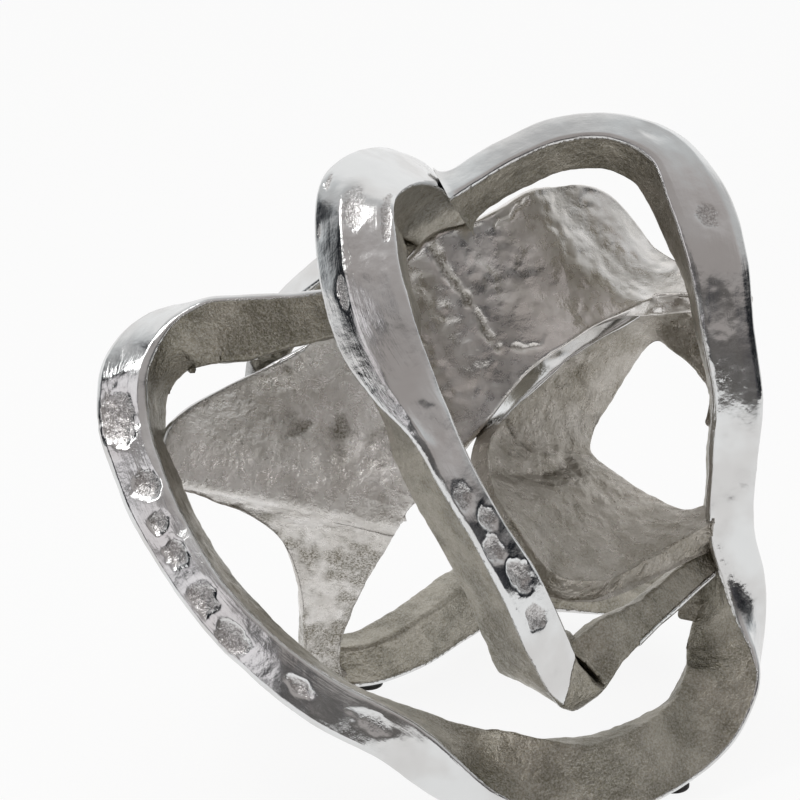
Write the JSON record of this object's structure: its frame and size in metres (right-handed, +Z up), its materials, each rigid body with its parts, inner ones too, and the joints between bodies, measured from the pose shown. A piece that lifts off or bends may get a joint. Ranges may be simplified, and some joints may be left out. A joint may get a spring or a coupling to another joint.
{
  "type": "metal knot sculpture",
  "caption": "Free-standing open knot of thick cast metal straps that loop over and under each other, with polished outer faces, rough sides and round openings between them.",
  "frame": {"origin": "on the table, under the middle of the knot's box", "axes": "+Z up, +Y away from the side the picture shows, +X to its right"},
  "size_m": [0.2531, 0.2362, 0.2362],
  "materials": {
    "cast_metal": "sand-cast aluminium with a nickel plate: outer faces ground and polished to a soft mirror with pits, flanks left as cast and rough",
    "weld_metal": "weld metal ground and blended into the castings, plated with them",
    "felt": "pressed dark felt discs with a matt, fibrous surface"
  },
  "bodies": {
    "root": {"back_web": "cast_metal", "base_loop": "cast_metal", "crest_band": "cast_metal", "crown_loop": "cast_metal", "crown_tail": "cast_metal", "felt_pad_foot": "felt", "felt_pad_front_left": "felt", "felt_pad_front_right": "felt", "felt_pad_rear": "felt", "front_band": "cast_metal", "left_loop": "cast_metal", "left_web": "cast_metal", "loop_arm": "cast_metal", "lower_web": "cast_metal", "rear_band_lower": "cast_metal", "rear_band_upper": "cast_metal", "rear_base": "cast_metal", "rear_right_base": "cast_metal", "return_arm": "cast_metal", "right_loop": "cast_metal", "tip_elbow": "cast_metal", "upper_web": "cast_metal", "weld_arm_to_left_loop": "weld_metal", "weld_arm_to_web": "weld_metal", "weld_back_to_lower_web": "weld_metal", "weld_back_web_to_loop": "weld_metal", "weld_base_to_loop": "weld_metal", "weld_base_to_right_loop": "weld_metal", "weld_crest_to_front_band": "weld_metal", "weld_crown_loop_to_crest": "weld_metal", "weld_crown_tail_to_crest": "weld_metal", "weld_crown_tail_to_web": "weld_metal", "weld_front_band_to_tip": "weld_metal", "weld_left_to_base_loop": "weld_metal", "weld_left_web_to_base": "weld_metal", "weld_lower_web_to_loop": "weld_metal", "weld_rear_band": "weld_metal", "weld_rear_band_to_base": "weld_metal", "weld_rear_base": "weld_metal", "weld_rear_to_crest_band": "weld_metal", "weld_return_arm_to_loop": "weld_metal", "weld_right_to_crown_loop": "weld_metal", "weld_tip_to_return_arm": "weld_metal", "weld_upper_to_left_web": "weld_metal", "weld_upper_web_to_loop": "weld_metal"}
  },
  "joints": []
}
